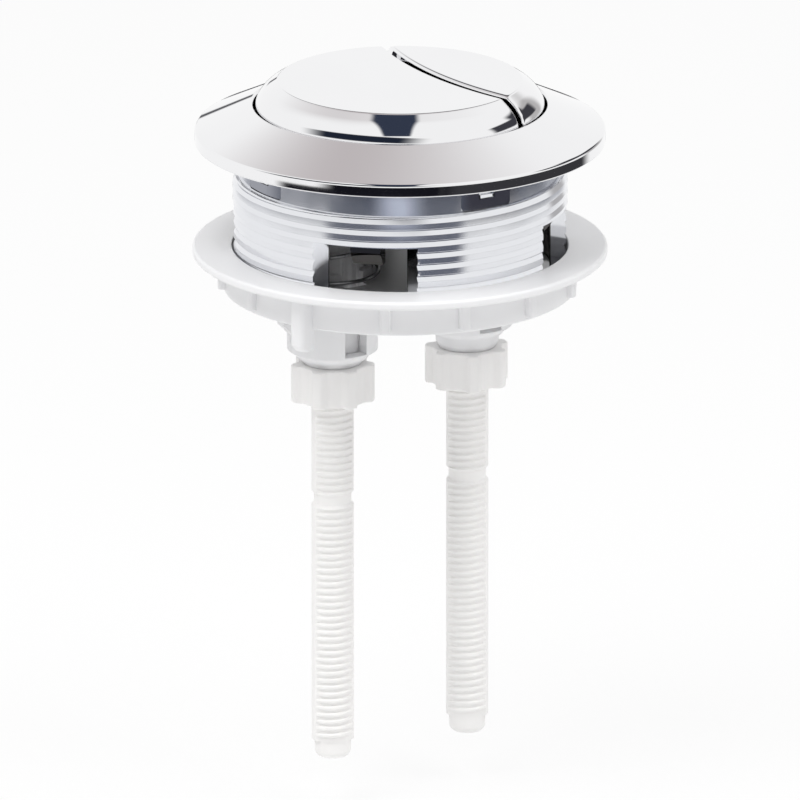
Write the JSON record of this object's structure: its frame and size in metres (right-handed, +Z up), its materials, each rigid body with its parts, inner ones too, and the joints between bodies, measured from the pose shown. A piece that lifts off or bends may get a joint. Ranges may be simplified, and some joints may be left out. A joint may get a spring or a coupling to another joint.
{
  "type": "push button cistern actuator",
  "caption": "Round chrome dual-flush push button for a cistern lid, with a threaded sleeve, a white clamping nut and threaded push rods.",
  "frame": {"origin": "on the sleeve's axis, in the plane of the lid seat under the bezel's rim", "axes": "+Z up out of the cistern along the sleeve's axis, +X from the full-flush rod to the half-flush rod"},
  "size_m": [0.072, 0.072, 0.1202],
  "materials": {
    "bright_chrome": "bright chrome plating on moulded plastic",
    "sleeve_chrome": "bright chrome plating on moulded plastic",
    "white_plastic": "smooth white moulded plastic",
    "rod_plastic": "satin white moulded plastic, slightly warm",
    "spring_steel": "drawn steel wire"
  },
  "bodies": {
    "housing": {"bezel_ring": "bright_chrome", "threaded_sleeve": "sleeve_chrome", "guide_plate": "white_plastic", "full_flush_spring": "spring_steel", "half_flush_spring": "spring_steel"},
    "flange_nut": {"flange_nut": "white_plastic"},
    "full_flush": {"full_flush_button": "bright_chrome", "full_flush_plunger": "white_plastic", "full_flush_rod": "rod_plastic", "full_flush_lock_nut": "rod_plastic"},
    "half_flush": {"half_flush_button": "bright_chrome", "half_flush_plunger": "white_plastic", "half_flush_rod": "rod_plastic", "half_flush_lock_nut": "rod_plastic"}
  },
  "joints": [
    {"name": "full_flush_press", "type": "slide", "parent": "housing", "child": "full_flush", "axis": [0, 0, -1], "range_m": [0, 0.006], "stiffness_N_per_m": 350, "springref_m": -0.012, "deforming": ["full_flush_spring"]},
    {"name": "half_flush_press", "type": "slide", "parent": "housing", "child": "half_flush", "axis": [0, 0, -1], "range_m": [0, 0.006], "stiffness_N_per_m": 350, "springref_m": -0.012, "deforming": ["half_flush_spring"]},
    {"name": "flange_nut_travel", "type": "slide", "parent": "housing", "child": "flange_nut", "axis": [0, 0, 1], "range_m": [-0.0028, 0.0122]}
  ]
}
